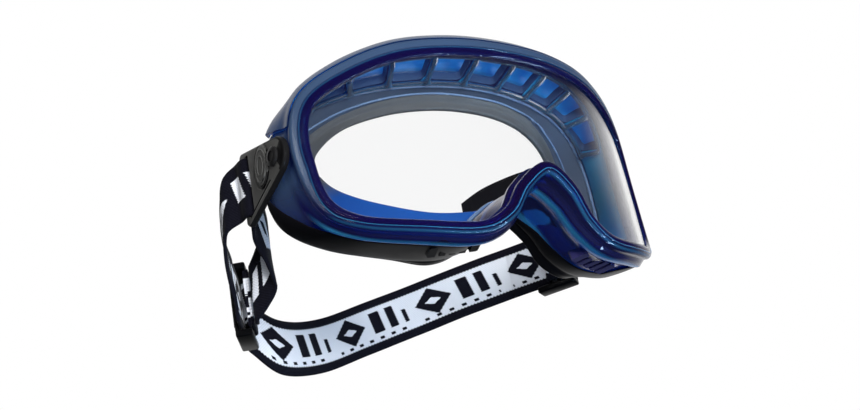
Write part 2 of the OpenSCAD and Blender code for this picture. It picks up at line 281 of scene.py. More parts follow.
ABSORB = (0.02, 0.60, 0.85)
SLATE = (0.070, 0.130, 0.250)
AZURE = (0.02, 0.34, 0.80)
M_FRAME = clear_plastic("frame_blue", (0.85, 0.90, 1.0), ABSORB, 1400.0, 0.06, (0.2, 0.42, 0.7),
                        (0.017, 0.006, 0.08), 0.25, SLATE, 0.6, AZURE, True)
M_BROW = clear_plastic("brow_blue", (0.82, 0.92, 1.0), ABSORB, 1600.0, 0.12, (0.2, 0.45, 0.72),
                       (0.10, 0.19, 0.34), 0.45, (0.058, 0.118, 0.235), 0.43, AZURE, True)
M_VENT = clear_plastic("vent_blue", (0.7, 0.88, 1.0), ABSORB, 600.0, 0.1, (0.2, 0.5, 0.8),
                       (0.06, 0.13, 0.25), 0.5, SLATE, 0.2, AZURE)
M_LENS = clear_plastic("lens_clear", (0.99, 0.993, 0.995), None, 0, 0.0, (0.97, 0.98, 0.98))
M_CLIP = moulded("clip_grey", (0.050, 0.050, 0.048), 0.5, 0.00007, 1500.0, 0.2, 0.4)
M_BLACK = moulded("black_plastic", (0.0025, 0.0025, 0.003), 0.32, 0.00003, 1500.0, 0.3, 0.3, 0.12)
M_CAP = moulded("cap_navy", (0.010, 0.008, 0.055), 0.2, 0.00003, 1500.0, 0.2, 0.3)
M_SEAM = moulded("seam_purple", (0.012, 0.004, 0.055), 0.15, 0.00002, 1500.0, 0.2)


def skirt_material():
    """Black below, turning slate grey over the brow, where the soft moulding lets some light through."""
    m, nt = material("skirt_black")
    out = node(nt, "ShaderNodeOutputMaterial")
    p = put(node(nt, "ShaderNodeBsdfPrincipled"), Specular_IOR_Level=0.05)
    high = math_node(nt, "MULTIPLY_ADD", object_xyz(nt)["Z"], 60.0, 0.2, clamp=True)
    grey = mix_colour(nt, noise(nt, 50.0), (0.050, 0.066, 0.10), (0.040, 0.056, 0.09))
    link(nt, mix_colour(nt, high, (0.0035, 0.0035, 0.0045), grey), p.inputs["Base Color"])
    link(nt, math_node(nt, "MULTIPLY_ADD", noise(nt, 160.0), 0.12, 0.3), p.inputs["Roughness"])
    link(nt, bump(nt, noise(nt, 900.0, 2.0), 0.3, 0.00002), p.inputs["Normal"])
    link(nt, p.outputs[0], out.inputs["Surface"])
    return m


M_SKIRT = skirt_material()
M_BEAD = moulded("bead_slate", (0.10, 0.16, 0.27), 0.25, 0.00002, 1500.0, 0.15)


REPEAT = 47.0


def weave_material():
    """Woven webbing: black selvedges with a stepped boundary and plain black figures on light grey."""
    m, nt = material("webbing")
    out = node(nt, "ShaderNodeOutputMaterial")
    p = node(nt, "ShaderNodeBsdfPrincipled")
    at = node(nt, "ShaderNodeAttribute", attribute_name="weave")
    xyz = node(nt, "ShaderNodeSeparateXYZ")
    link(nt, at.outputs["Vector"], xyz.inputs[0])
    s_mm, w_mm = xyz.outputs["X"], xyz.outputs["Y"]

    def op(kind, a, b=None, c=None, clamp=False):
        return math_node(nt, kind, a, b, c, clamp)

    def soft(value, low, high):
        n = node(nt, "ShaderNodeMapRange", interpolation_type="SMOOTHSTEP")
        n.inputs["From Min"].default_value, n.inputs["From Max"].default_value = low, high
        link(nt, value, n.inputs["Value"])
        return n.outputs[0]

    saw = op("ABSOLUTE", op("SUBTRACT", op("FRACT", op("MULTIPLY", s_mm, 0.62)), 0.5))
    stepped = op("MULTIPLY_ADD", saw, 1.3, op("ABSOLUTE", w_mm))
    border = soft(stepped, 8.75, 8.95)
    s_jag = op("ADD", s_mm, op("MULTIPLY", op("SUBTRACT", op("FRACT", op("MULTIPLY", w_mm, 0.8)), 0.5), 0.6))
    t = op("MULTIPLY", op("FRACT", op("MULTIPLY", s_jag, 1 / REPEAT)), REPEAT)

    def lozenge(ct, cw, rt, rw, lean):
        a = op("ABSOLUTE", op("ADD", op("MULTIPLY_ADD", w_mm, lean, t), -ct))
        b = op("ABSOLUTE", op("SUBTRACT", w_mm, cw))
        return op("SUBTRACT", 1.0, soft(op("ADD", op("DIVIDE", a, rt), op("DIVIDE", b, rw)), 0.95, 1.02))

    def bar(ct, half, lean, low, high):
        a = op("ABSOLUTE", op("ADD", op("MULTIPLY_ADD", w_mm, lean, t), -ct))
        inside = op("SUBTRACT", 1.0, soft(a, half - 0.1, half + 0.1))
        above = soft(w_mm, low - 0.1, low + 0.1)
        below = op("SUBTRACT", 1.0, soft(w_mm, high - 0.1, high + 0.1))
        return op("MULTIPLY", inside, op("MULTIPLY", above, below))

    figures = [op("SUBTRACT", lozenge(11, 0.8, 9.5, 7.2, 0.3), lozenge(11, 0.8, 4.2, 1.9, 0.3)),
               bar(27, 2.9, 0.28, -4.2, 6.3),
               bar(35.5, 2.2, 0.28, -4.2, 6.3),
               bar(42.5, 1.1, 0.28, -4.2, 2.4)]
    dashes = op("MULTIPLY", bar(23.5, 20.0, 0.0, -7.6, -6.2),
                op("GREATER_THAN", op("FRACT", op("MULTIPLY", s_jag, 1 / 6.2)), 0.62))
    drawn = dashes
    for f in figures:
        drawn = op("MAXIMUM", drawn, f)
    # the third part of weave is 1 where the weave is reversed, with light figures on black
    figure = op("MULTIPLY", op("SUBTRACT", drawn, dashes), op("SUBTRACT", 1.0, border))
    turned = op("SUBTRACT", 1.0, figure)
    flag = xyz.outputs["Z"]
    black = op("ADD", op("MULTIPLY", op("MAXIMUM", border, drawn), op("SUBTRACT", 1.0, flag)),
               op("MULTIPLY", turned, flag))
    weft = op("SINE", op("MULTIPLY", s_mm, 2 * math.pi / 0.95))
    warp = op("SINE", op("MULTIPLY", w_mm, 2 * math.pi / 1.25))
    thread = op("MULTIPLY_ADD", op("MULTIPLY", weft, warp), 0.5, 0.5)
    n = node(nt, "ShaderNodeTexNoise")
    put(n, Scale=0.35, Detail=5.0)
    link(nt, at.outputs["Vector"], n.inputs["Vector"])
    light = mix_colour(nt, thread, (0.50, 0.52, 0.565), (0.72, 0.74, 0.785))
    light = mix_colour(nt, op("MULTIPLY", n.outputs["Fac"], 0.35), light, (0.45, 0.475, 0.53))
    dark = mix_colour(nt, thread, (0.0018, 0.0018, 0.0035), (0.006, 0.006, 0.011))
    link(nt, mix_colour(nt, black, light, dark), p.inputs["Base Color"])
    put(p, Roughness=0.85, Specular_IOR_Level=0.15, Sheen_Weight=0.03, Sheen_Roughness=0.4)
    link(nt, bump(nt, thread, 0.5, 0.00018), p.inputs["Normal"])
    link(nt, p.outputs[0], out.inputs["Surface"])
    return m


M_WEB = weave_material()

m, nt = material("floor")
out, p = node(nt, "ShaderNodeOutputMaterial"), node(nt, "ShaderNodeBsdfPrincipled")
put(p, Base_Color=(0.82, 0.82, 0.82, 1), Roughness=0.6)
put(p, Emission_Color=(1, 1, 1, 1), Emission_Strength=0.5)
link(nt, p.outputs[0], out.inputs["Surface"])
floor_mesh.materials.append(m)


# ---------------------------------------------------------------- shapes shared with the CAD source, in mm
LENS_R, LENS_T, FLARE, RAKE, LIP_DEPTH, FRAME_DEPTH, LAST = 104.0, 2.0, 0.075, 0.08, 31.0, 27.0, 13
WALL, RIM_IN, RIM_OUT, SEAT, SKIRT_T, CHEEK, NOSE_OUT, EYE_BACK = 2.6, 4.2, 3.2, 0.15, 2.0, 8.0, 5.0, 4.0
HALF_WIDTH, BACK_SWEEP, FACE_HALF, FACE_ROUND, FACE_LEAN = 87, 40, 70, 38, 0.07
LOW_LAP, ROOF_IN, GROOVE_BACK = 1.4, 0.8, -7.5
# half outlines on the wearer's left, from the top middle to the nose; the other half mirrors them
LENS = [(0, 45), (24, 45), (46, 43.5), (66, 38), (82, 30.5), (89, 19), (90.5, 2), (86.5, -17), (74, -27),
        (52, -33), (32, -35.5), (20, -30), (12, -19), (0, -11)]
BACK = [(0, 44), (20.5, 43.6), (38.5, 42.8), (53.5, 41), (68, 36.5), (79, 26), (82, 7), (79.5, -12),
        (68, -24), (51, -31), (33, -34), (21, -30), (13, -21), (0, -13)]
LIP = [(0, 41), (21, 41), (41, 38.5), (58, 33), (69, 23), (73, 9), (73, -5), (67, -16), (57, -25), (44, -31),
       (32, -34.5), (21, -31), (13, -22), (0, -15.5)]
EYE = [(0, 35), (19, 34.5), (36, 33), (50, 29.5), (58.5, 22), (60, 15), (58, 8), (54, 2), (47, -4), (38, -9),
       (29, -12), (21, -13), (11, -12.5), (0, -11)]
PIVOT = (18.0, 11.0)
CLIP_X, CLIP_T, STRAP_W, STRAP_T = 82.5, 3.0, 25.0, 1.4
RIB_AT = [9.2, 27.7, 46.2, 65.0, 83.0]


def outline_point(h, i):
    while i < -LAST:
        i += 2 * LAST
    while i > LAST:
        i -= 2 * LAST
    return np.array((-h[-i][0], h[-i][1]) if i < 0 else h[i], float)


def spline(a, b, c, d, f):
    """Catmull-Rom curve from b to c, at the share f of the way."""
    square, cube = 2 * a - 5 * b + 4 * c - d, 3 * b - a - 3 * c + d
    return 0.5 * (2 * b + (c - a) * f + square * f * f + cube * f ** 3)


def curve(h, u):
    k = math.floor(u)
    return spline(*[outline_point(h, k + i) for i in (-1, 0, 1, 2)], u - k)


def normal(h, u):
    t = curve(h, u + 0.05) - curve(h, u - 0.05)
    n = np.array([-t[1], t[0]])
    return n / np.linalg.norm(n)


def lens_point(p, h):
    r, a = LENS_R + FLARE * p[1], p[0] / LENS_R
    return np.array([(r + h) * math.sin(a), r - (r + h) * math.cos(a) + RAKE * p[1] - LIP_DEPTH, p[1]])


def edge_point(u, out, h):
    return lens_point(curve(LENS, u) + out * normal(LENS, u), h)


def back_point(u, inward):
    p = curve(BACK, u) - inward * normal(BACK, u)
    return np.array([p[0], FRAME_DEPTH - LIP_DEPTH + BACK_SWEEP * (p[0] / HALF_WIDTH) ** 2, p[1]])


def face_y(p):
    return (FACE_ROUND * (abs(p[0]) / FACE_HALF) ** 2.2 + FACE_LEAN * p[1]
            + CHEEK * max(0.0, -p[1] - 8) / 26 * math.exp(-(p[0] / 36) ** 2))


def lip_point(u, inward, forward):
    p = curve(LIP, u) - inward * normal(LIP, u)
    return np.array([p[0], face_y(p) - forward, p[1]])


def eye_point(u, forward):
    p = curve(EYE, u)
    return np.array([p[0], face_y(p) + EYE_BACK - forward, p[1]])


def nose_push(u):
    d = LAST - abs(u)
    return np.array([0, -NOSE_OUT * math.exp(-d * d / 3), 0])


def lap(u):
    """How far the rim reaches in over the lens: less along the lower edge."""
    return float(np.interp(abs(u), [6, 8], [RIM_IN, LOW_LAP]))


def mix(a, b, k):
    return a * (1 - k) + b * k


def along(s):
    return math.copysign(float(np.interp(abs(s), [q[0] for q in LENS[:6]], range(6))), s)


def rib_u(i):
    return along(RIB_AT[i - 1]) if i > 0 else -along(RIB_AT[-i])


def raised(u, lift):
    """Step of lift out of the outline of the frame's back."""
    n = normal(BACK, u)
    return lift * np.array([n[0], 0, n[1]])


def roof_point(u, k, lift=0.0):
    """Inner side of the wall: k is 0 at the lens groove and 1 at the back edge."""
    return mix(edge_point(u, ROOF_IN, GROOVE_BACK), back_point(u, WALL), k) + raised(u, lift)


def wall_point(u, k, lift=0.0):
    """Outer side of the wall: k is 0 at the rim and 1 at the back edge."""
    return mix(edge_point(u, RIM_OUT + 2, -3), back_point(u, -1.5), k) + raised(u, lift)


# ---------------------------------------------------------------- mesh building
def add(name, verts, faces, mat, smooth=True, sharp=35):
    me = bpy.data.meshes.new(name)
    me.from_pydata([tuple(float(c) * MM for c in v) for v in verts], [], faces)
    me.validate()
    ob = bpy.data.objects.new(name, me)
    bpy.context.scene.collection.objects.link(ob)
    if mat:
        me.materials.append(mat)
    if smooth:
        finish_shading(me, sharp)
    return ob


def finish_shading(me, sharp):
    me.polygons.foreach_set("use_smooth", [True] * len(me.polygons))
    if sharp:
        me.set_sharp_from_angle(angle=math.radians(sharp))
    me.update()


def rounded(ring, cuts):
    """Corner cutting of a closed section, cuts times."""
    v = np.array(ring, float)
    for _ in range(cuts):
        nxt = np.roll(v, -1, 0)
        v = np.stack([mix(v, nxt, 0.22), mix(v, nxt, 0.78)], 1).reshape(-1, v.shape[1])
    return v


def sweep(sections, closed=True):
    n, m = len(sections), len(sections[0])
    faces = []
    for i in range(n if closed else n - 1):
        a, b = i * m, (i + 1) % n * m
        faces += [(a + j, a + (j + 1) % m, b + (j + 1) % m, b + j) for j in range(m)]
    if not closed:
        faces += [tuple(reversed(range(m))), tuple((n - 1) * m + j for j in range(m))]
    return np.concatenate(sections), faces


def outward(ob):
    """Turns a closed mesh's faces outward if its volume is negative."""
    me = ob.data
    v = np.array([p.co for p in me.vertices])
    vol = 0.0
    for f in me.polygons:
        q = [v[i] for i in f.vertices]
        for k in range(1, len(q) - 1):
            vol += np.dot(q[0], np.cross(q[k], q[k + 1]))
    if vol < 0:
        me.flip_normals()
        me.update()
    return ob


def apply_modifiers(ob, sharp=35):
    dg = bpy.context.evaluated_depsgraph_get()
    me = bpy.data.meshes.new_from_object(ob.evaluated_get(dg))
    old = ob.data
    ob.modifiers.clear()
    ob.data = me
    bpy.data.meshes.remove(old)
    finish_shading(me, sharp)


def boolean(ob, cutters):
    """Cuts the cutters out of the object and removes them."""
    for i, c in enumerate(cutters):
        mod = ob.modifiers.new("cut%d" % i, "BOOLEAN")
        mod.operation, mod.object, mod.solver = "DIFFERENCE", c, "EXACT"
    apply_modifiers(ob)
    for c in cutters:
        bpy.data.objects.remove(c)


def merged(parts):
    """One mesh of several (verts, faces) parts."""
    verts, faces = [], []
    for v, f in parts:
        faces += [tuple(j + len(verts) for j in q) for q in f]
        verts += list(v)
    return verts, faces


def set_tone(ob, values):
    tone = ob.data.attributes.new("tone", "FLOAT", "POINT")
    tone.data.foreach_set("value", values)


def unit(v):
    return v / np.linalg.norm(v)


FINE = 10
STATIONS = [i / FINE - LAST for i in range(2 * LAST * FINE)]

# lens: two curved skins and a rounded edge
RINGS = [1, 0.985, 0.96, 0.92, 0.85, 0.75, 0.62, 0.5, 0.38, 0.25, 0.12, 0.04]
middle = np.array([0.0, 14.0])


def lens_ring(k, h):
    return [lens_point(mix(middle, curve(LENS, u), k), h) for u in STATIONS]


rows = [lens_ring(k, 0) for k in reversed(RINGS[1:])]
rows += [lens_ring(1.0, -0.3), lens_ring(1.0, 0.3 - LENS_T)]
rows += [lens_ring(k, -LENS_T) for k in RINGS[1:]]
verts, faces = sweep(rows, closed=False)
lens = outward(add("lens_clear", verts, faces, M_LENS, sharp=50))
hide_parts("lens")
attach(lens, "goggles")


# frame: rim with two beads, wall, back edge and lens groove
def low_side(u):
    """0 over the top and the temples, 1 along the lower edge."""
    return float(np.interp(abs(u), [6.2, 7.4], [0, 1]))


def frame_section(u):
    push, low = nose_push(u), low_side(u)
    # each point with its tone: 0 slate, 1 purple, 2 bright azure; the azure is painted light: painted
    # highlights along the rim and ridge lines, and painted light shining through the inner wall
    dim, line = 0.8 * low, 2.0 * low
    # painted light: the inner wall is painted bright azure over the top and temples, as if light shines
    # through it
    inner = float(np.interp(abs(u), [10, 10.8], [2, 1]))
    key = [
        (edge_point(u, -lap(u), 0.6) + push, 1),
        (edge_point(u, -lap(u) + 0.7, 1.5) + push, 1),
        (edge_point(u, -lap(u) + 2.0, 1.7) + push, 1),
        (edge_point(u, -lap(u) + 2.6, 1.2) + push, 1),
        (edge_point(u, -1.2 + 2.8 * low, 1.25) + push, 1),
        (edge_point(u, -0.8 + 2.7 * low, 1.75) + push, 1.5 + 0.5 * low),
        (edge_point(u, -0.3 + 2.5 * low, 1.35) + push, dim),
        (edge_point(u, RIM_OUT - 0.9, 1.5) + push, dim),
        (edge_point(u, RIM_OUT + 0.1, 1.0) + push * 0.9, 1.5 * low),
        (edge_point(u, RIM_OUT + 1.0, -0.3) + push * 0.7, dim),
        (edge_point(u, RIM_OUT + 1.5 - 0.9 * low, -1.9) + push * 0.4, dim),
        (edge_point(u, RIM_OUT + 2, -3.4), dim),
        (wall_point(u, 0.12, 1.0 * low), line),
        (wall_point(u, 0.2, 0.6 * low), line),
        (wall_point(u, 0.3, -0.1 - 0.5 * low), dim),
        (wall_point(u, 0.5, 0.1 - 0.5 * low), dim),
        (wall_point(u, 0.7, -0.2), dim),
        (wall_point(u, 0.84, -0.6 + 0.9 * low), line),
        (wall_point(u, 0.93, -1.0 + 1.0 * low), line),
        (back_point(u, 0.1), dim),
        (back_point(u, WALL - 0.1), inner),
        (roof_point(u, 0.6), inner),
        (edge_point(u, ROOF_IN, GROOVE_BACK), inner),
        (edge_point(u, -2.5, -5.4), 1),
        (edge_point(u, -2.5, -LENS_T - SEAT), 1),
        (edge_point(u, SEAT, -LENS_T - SEAT), 1),
        (edge_point(u, SEAT, SEAT), 1),
        (edge_point(u, -lap(u), SEAT), 1)]
    return rounded([(*p, tone) for p, tone in key], 1)


def add_toned(name, sections, mat, closed=True, sharp=35):
    verts, faces = sweep(sections, closed)
    ob = add(name, verts[:, :3], faces, mat, sharp=sharp)
    set_tone(ob, verts[:, 3])
    return outward(ob)


shell = add_toned("frame_shell", [frame_section(u) for u in STATIONS], M_FRAME)


WINDOW_GAP, WINDOW_K, WINDOW_PAINTED_LIGHT_TONE = 0.075, (0.03, 0.8), 1.8


def window_cutter(i):
    """Prism with round corners between two ribs, right through the roof."""
    a, b = rib_u(i) + WINDOW_GAP, rib_u(i + 1) - WINDOW_GAP
    k1, k2 = WINDOW_K
    ru, rk = min(0.13, (b - a) * 0.22), 0.1
    corners = ((b - ru, k2 - rk, 0), (a + ru, k2 - rk, 90), (a + ru, k1 + rk, 180), (b - ru, k1 + rk, 270))
    path = []
    for cu, ck, start in corners:
        for step in range(6):
            t = math.radians(start + 18 * step)
            path.append((cu + ru * math.cos(t), ck + rk * math.sin(t)))
    n = len(path)
    v = [roof_point(u, k, -5) for u, k in path] + [roof_point(u, k, 11) for u, k in path]
    f = [tuple(range(n)), tuple(reversed(range(n, 2 * n)))]
    f += [(j, n + j, n + (j + 1) % n, (j + 1) % n) for j in range(n)]
    return v, f


verts, faces = merged([window_cutter(i) for i in range(-4, 5)])
cutter = outward(add("cutter", verts, faces, None, smooth=False))
# the window walls take the cutter's tone, painted light: nearly the full bright azure as painted highlights
# round the windows
set_tone(cutter, [WINDOW_PAINTED_LIGHT_TONE] * len(cutter.data.vertices))
boolean(shell, [cutter])
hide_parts("frame_body")
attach(shell, "goggles")


# dark seal between the lens edge and the rim
def seal_section(u):
    return rounded([edge_point(u, -lap(u) + 0.9, 0.03), edge_point(u, -lap(u) + 1.0, SEAT - 0.03),
                    edge_point(u, SEAT - 0.02, SEAT - 0.03), edge_point(u, SEAT - 0.02, 0.03)], 1)


verts, faces = sweep([seal_section(u) for u in STATIONS])
seal = outward(add("lens_seal", verts, faces, M_SEAM))
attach(seal, "goggles")


# brow cover: how high it stands over the wall at each station
LIFT = ([0, 2, 3, 4, 5], [5.2, 4.5, 4.2, 3.2, 1.4])


def brow_section(u):
    lift = float(np.interp(abs(u), *LIFT))
    outer = [
        edge_point(u, RIM_OUT + 0.6, 1.0),
        edge_point(u, RIM_OUT + 1.6, 0.2),
        wall_point(u, 0.06, 0.7 + lift * 0.62),
        wall_point(u, 0.25, 0.7 + lift * 0.9),
        wall_point(u, 0.5, 0.7 + lift),
        wall_point(u, 0.75, 0.7 + lift),
        wall_point(u, 0.89, 0.5 + lift),
        wall_point(u, 0.96, 0.3 + lift * 0.6),
        wall_point(u, 1.02, -0.8),
        wall_point(u, 0.96, -0.8)]
    inner = [
        wall_point(u, 0.89, -0.3 + lift * 0.5),
        wall_point(u, 0.82, -0.9 + lift * 0.96),
        wall_point(u, 0.5, -0.8 + lift * 0.98),
        wall_point(u, 0.25, -0.7 + lift * 0.82),
        wall_point(u, 0.1, 0.2 + lift * 0.3)]
    # painted light: the inner skin gets tone 2, bright azure as if lit through the cover, while the outer
    # skin stays slate
    return rounded([(*p, 0) for p in outer] + [(*p, 2) for p in inner], 1)


brow_u = [i / FINE for i in range(-5 * FINE, 5 * FINE + 1)]
brow = add_toned("brow_shell", [brow_section(u) for u in brow_u], M_BROW, closed=False, sharp=45)
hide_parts("brow_cover")
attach(brow, "goggles")


# vent lattice: ribs with feet between two rails under the roof
def bar_section(c, side, up, w, h, n=10):
    ring = []
    for s in range(n):
        t = 2 * math.pi * (s + 0.5) / n
        x, y = math.cos(t), math.sin(t)
        q = 1 / max(abs(x), abs(y)) ** 0.55
        ring.append(c + side * (w / 2 * x * q) + up * (h / 2 * y * q))
    return ring


def lattice_section(u, k, w, h, low, du=0.0, dk=0.0):
    """Section, w wide and h high, of a bar that runs along (du, dk) at a depth of low under the roof."""
    way = unit(roof_point(u + du, k + dk, -low) - roof_point(u - du, k - dk, -low))
    side = unit(np.cross(way, raised(u, 1.0)))
    return bar_section(roof_point(u, k, -low), side, np.cross(side, way), w, h)


# stations of k, width, height and depth: a rib with its foot, and the two rails
RIB = ((0.0, 1.6, 1.2, 1.0), (0.06, 2.4, 1.9, 1.3), (0.4, 2.1, 1.9, 1.4), (0.72, 2.2, 1.9, 1.5),
       (0.79, 3.4, 2.2, 1.5), (0.86, 4.2, 2.3, 1.3), (0.9, 3.6, 1.6, 1.0))
RAILS, RAIL_STEPS, STEP = ((0.02, 1.6, 1.3, 0.9), (0.86, 2.0, 1.5, 0.9)), 90, 0.02
rail_u = [mix(rib_u(-4), rib_u(5), t / RAIL_STEPS) for t in range(RAIL_STEPS + 1)]
bars = [[lattice_section(rib_u(i), *at, dk=STEP) for at in RIB] for i in range(-4, 6)]
bars += [[lattice_section(u, *at, du=STEP) for u in rail_u] for at in RAILS]
verts, faces = merged([sweep(sections, closed=False) for sections in bars])
rail = add("vent_lattice", verts, faces, M_VENT, sharp=50)
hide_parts("upper_vent_rail")
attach(rail, "goggles")


# face skirt: it wraps over the back of the lower wall, further on the wearer's right cheek
def skirt_section(u):
    back = back_point(u, -0.1) + np.array([0, 0.1, 0])
    near = 1.0 if u < 0 else 0.0
    start = float(np.interp(abs(u), [6.3, 7.0, 7.6, 8.4 + 1.5 * near, 9.1 + 1.4 * near, 11, 12, 13],
                            [0.97, 0.45, 0.2, 0.2, 0.75, 0.75, 0.85, 0.97]))
    share = 0.05 + 0.95 * min(1.0, (0.97 - start) / 0.1)

    def wrap(k, lift):
        return mix(back, wall_point(u, k, lift), share)

    key = [
        back,
        wrap(start, 0.0),
        wrap(start, 0.55),
        wrap(mix(start, 1, 0.5), 0.75),
        mix(back_point(u, -1.0), lip_point(u, -0.4, 0), 0.04 + 0.01 * share) + raised(u, share),
        mix(back_point(u, -1.0), lip_point(u, -0.4, 0), 0.25),
        mix(back_point(u, -1.3), lip_point(u, -0.6, 0), 0.6),
        lip_point(u, -0.5, 1.0),
        lip_point(u, -0.5, -0.1),
        lip_point(u, 0.6, -0.5),
        lip_point(u, SKIRT_T, 0.4),
        mix(back_point(u, WALL - 0.4), lip_point(u, SKIRT_T, 0), 0.6),
        mix(back_point(u, WALL), lip_point(u, SKIRT_T, 0), 0.25),
        back_point(u, WALL) + np.array([0, 0.1, 0])]
    return rounded(key, 2)


verts, faces = sweep([skirt_section(u) for u in STATIONS])
skirt = outward(add("skirt_soft", verts, faces, M_SKIRT, sharp=60))
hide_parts("face_skirt")
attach(skirt, "goggles")


def bead(place, radius):
    """Thin raised line round the inner side of the skirt."""
    centres = [place(u) for u in STATIONS]
    rows = []
    for i, c in enumerate(centres):
        way = unit(centres[(i + 1) % len(centres)] - centres[i - 1])
        side = unit(np.cross(way, (0, 1, 0)))
        up = np.cross(side, way)
        turns = [math.pi * j / 4 for j in range(8)]
        rows.append([c + radius * (math.cos(t) * side + math.sin(t) * up) for t in turns])
    return sweep(rows)


def bead_place(u, share):
    return mix(back_point(u, WALL + 0.1), lip_point(u, SKIRT_T + 0.1, 0), share)


BEADS = ((0.05, 0.7), (0.62, 0.45))
verts, faces = merged([bead(lambda u: bead_place(u, share), radius) for share, radius in BEADS])
beads = outward(add("skirt_beads", verts, faces, M_BEAD, sharp=60))
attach(beads, "goggles")


def flange_section(u):
    key = [
        lip_point(u, SKIRT_T - 0.9, 0.6),
        mix(lip_point(u, SKIRT_T, 0.2), eye_point(u, 0.4), 0.5),
        eye_point(u, 0.3),
        eye_point(u, 2.3),
        mix(eye_point(u, 0), lip_point(u, 0, 0), 0.2) - np.array([0, 2.1, 0]),
        mix(eye_point(u, 0), lip_point(u, 0, 0), 0.45) - np.array([0, 1.7, 0]),
        mix(eye_point(u, 0), lip_point(u, 0, 0), 0.62) - np.array([0, 2.6, 0]),
        lip_point(u, SKIRT_T - 0.9, 2.3)]
    return rounded(key, 2)


def flange_material():
    """Grey membrane that turns blue towards its lower edge, where light comes through it."""
    m, nt = material("flange_soft")
    out = node(nt, "ShaderNodeOutputMaterial")
    grey = put(node(nt, "ShaderNodeBsdfPrincipled"), Roughness=0.5)
    grey_tint = mix_colour(nt, noise(nt, 60.0), (0.058, 0.062, 0.066), (0.046, 0.05, 0.055))
    link(nt, grey_tint, grey.inputs["Base Color"])
    blue = put(node(nt, "ShaderNodeBsdfPrincipled"), Roughness=0.3)
    blue_tint = mix_colour(nt, noise(nt, 60.0), (0.018, 0.11, 0.43), (0.014, 0.09, 0.36))
    link(nt, blue_tint, blue.inputs["Base Color"])
    back_lit = put(node(nt, "ShaderNodeBsdfTranslucent"), Color=(0.02, 0.10, 0.38, 1))
    painted_glow = mix_shader(nt, 0.5, blue.outputs[0], back_lit.outputs[0])
    low = math_node(nt, "MULTIPLY_ADD", object_xyz(nt)["Z"], -110.0, 0.95, clamp=True)
    link(nt, mix_shader(nt, low, grey.outputs[0], painted_glow), out.inputs["Surface"])
    return m


M_FLANGE = flange_material()
verts, faces = sweep([flange_section(u) for u in STATIONS])
flange = outward(add("flange_soft", verts, faces, M_FLANGE, sharp=60))
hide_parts("face_flange")
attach(flange, "goggles")

# the lower vent covers keep their CAD solids: the right one is black like the skirt around it
for name in ("lower_vent_cover_right", "lower_vent_cover_left"):
    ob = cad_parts[name]
    ob.data.materials.clear()
    ob.data.materials.append(M_CAP if name.endswith("left") else M_SKIRT)


# strap clips: bevelled plate with a slot, a pivot hole, a groove across its face and an oval medallion with
# two rings
SLOT, SLOT_Z, BAR_BACK = (38.5, 43.5), 10.0, 46.5
BORE_R, SLOT_HALF, SLOT_ROUND, BLACK_BELOW_Y = 2.56, (2.5, 12.9), 1.2, 23.5
EYES = [(PIVOT[0], PIVOT[1], 8.0), (BAR_BACK - 2.5, SLOT_Z + 13.5, 2.5), (BAR_BACK - 2.5, SLOT_Z - 13.5, 2.5)]


def outline(inset, n=120):
    """Outline round the three circles of EYES, as (y, z) points."""
    pts = []
    for i in range(n):
        t = 2 * math.pi * i / n
        d = (math.cos(t), math.sin(t))
        c = max(EYES, key=lambda e: e[0] * d[0] + e[1] * d[1] + e[2])
        pts.append((c[0] + (c[2] - inset) * d[0], c[1] + (c[2] - inset) * d[1]))
    return pts


def circle(r, n=48):
    return [(PIVOT[0] + r * math.cos(2 * math.pi * i / n), PIVOT[1] + r * math.sin(2 * math.pi * i / n))
            for i in range(n)]


def ellipse(cy, cz, ry, rz, lean, n=72):
    pts = []
    for i in range(n):
        t = 2 * math.pi * i / n
        y, z = ry * math.cos(t), rz * math.sin(t)
        pts.append((cy + y * math.cos(lean) - z * math.sin(lean),
                    cz + y * math.sin(lean) + z * math.cos(lean)))
    return pts


def stack(rows):
    """Closed body over rows of (list of (y, z), outward height)."""
    return sweep([np.array([(h, y, z) for y, z in pts]) for pts, h in rows], closed=False)


def tube(path, radius, n=8):
    """Closed ring of round section along (y, z) points at heights h: path holds (y, z, h)."""
    centres = [np.array([h, y, z]) for y, z, h in path]
    turns = [2 * math.pi * j / n for j in range(n)]
    out = np.array([1.0, 0, 0])
    sections = []
    for p, q in zip(centres, centres[1:] + centres[:1]):
        side = unit(np.cross(unit(q - p), out))
        sections.append([p + radius * (math.cos(t) * side + math.sin(t) * out) for t in turns])
    return sweep(sections)


def to_side(part, side, x):
    v, f = part
    v = np.array([(side * (x + p[0]), p[1], p[2]) for p in v])
    return v, f


def solid(name, part, side, x, mat=None, sharp=35):
    v, f = to_side(part, side, x)
    return outward(add(name, v, f, mat, sharp=sharp))


def rounded_rect(cy, cz, hy, hz, r, n=6):
    pts = []
    for sy, sz, start in ((1, 1, 0), (-1, 1, 90), (-1, -1, 180), (1, -1, 270)):
        for k in range(n):
            t = math.radians(start + 90 * k / (n - 1))
            pts.append((cy + sy * (hy - r) + r * math.cos(t), cz + sz * (hz - r) + r * math.sin(t)))
    return pts


def join(name, obs):
    """One object of several; the first one's material stays."""
    bm = bmesh.new()
    for o in obs:
        bm.from_mesh(o.data)
    me = bpy.data.meshes.new(name)
    bm.to_mesh(me)
    bm.free()
    me.materials.append(obs[0].data.materials[0])
    ob = bpy.data.objects.new(name, me)
    bpy.context.scene.collection.objects.link(ob)
    for o in obs:
        bpy.data.objects.remove(o)
    finish_shading(me, 35)
    return ob


# the medallion's centre, half sizes and lean; its steps as insets and heights; its two rings
MEDAL = (28.6, 12.4, 6.2, 9.2, 0.12)
MEDAL_STEPS = ((0.75, 0.75, -0.6), (0.8, 0.8, 0.05), (1.2, 1.2, 0.35), (3.4, 4.0, 0.6))
MEDAL_RINGS = ((4.1, 6.6, 0.42), (2.3, 3.9, 0.58))
FURROW, FURROW_ACROSS, FURROW_R = np.array([(23.0, 3.6), (42.0, -3.2)]), np.array([0.34, 0.94]), 0.4


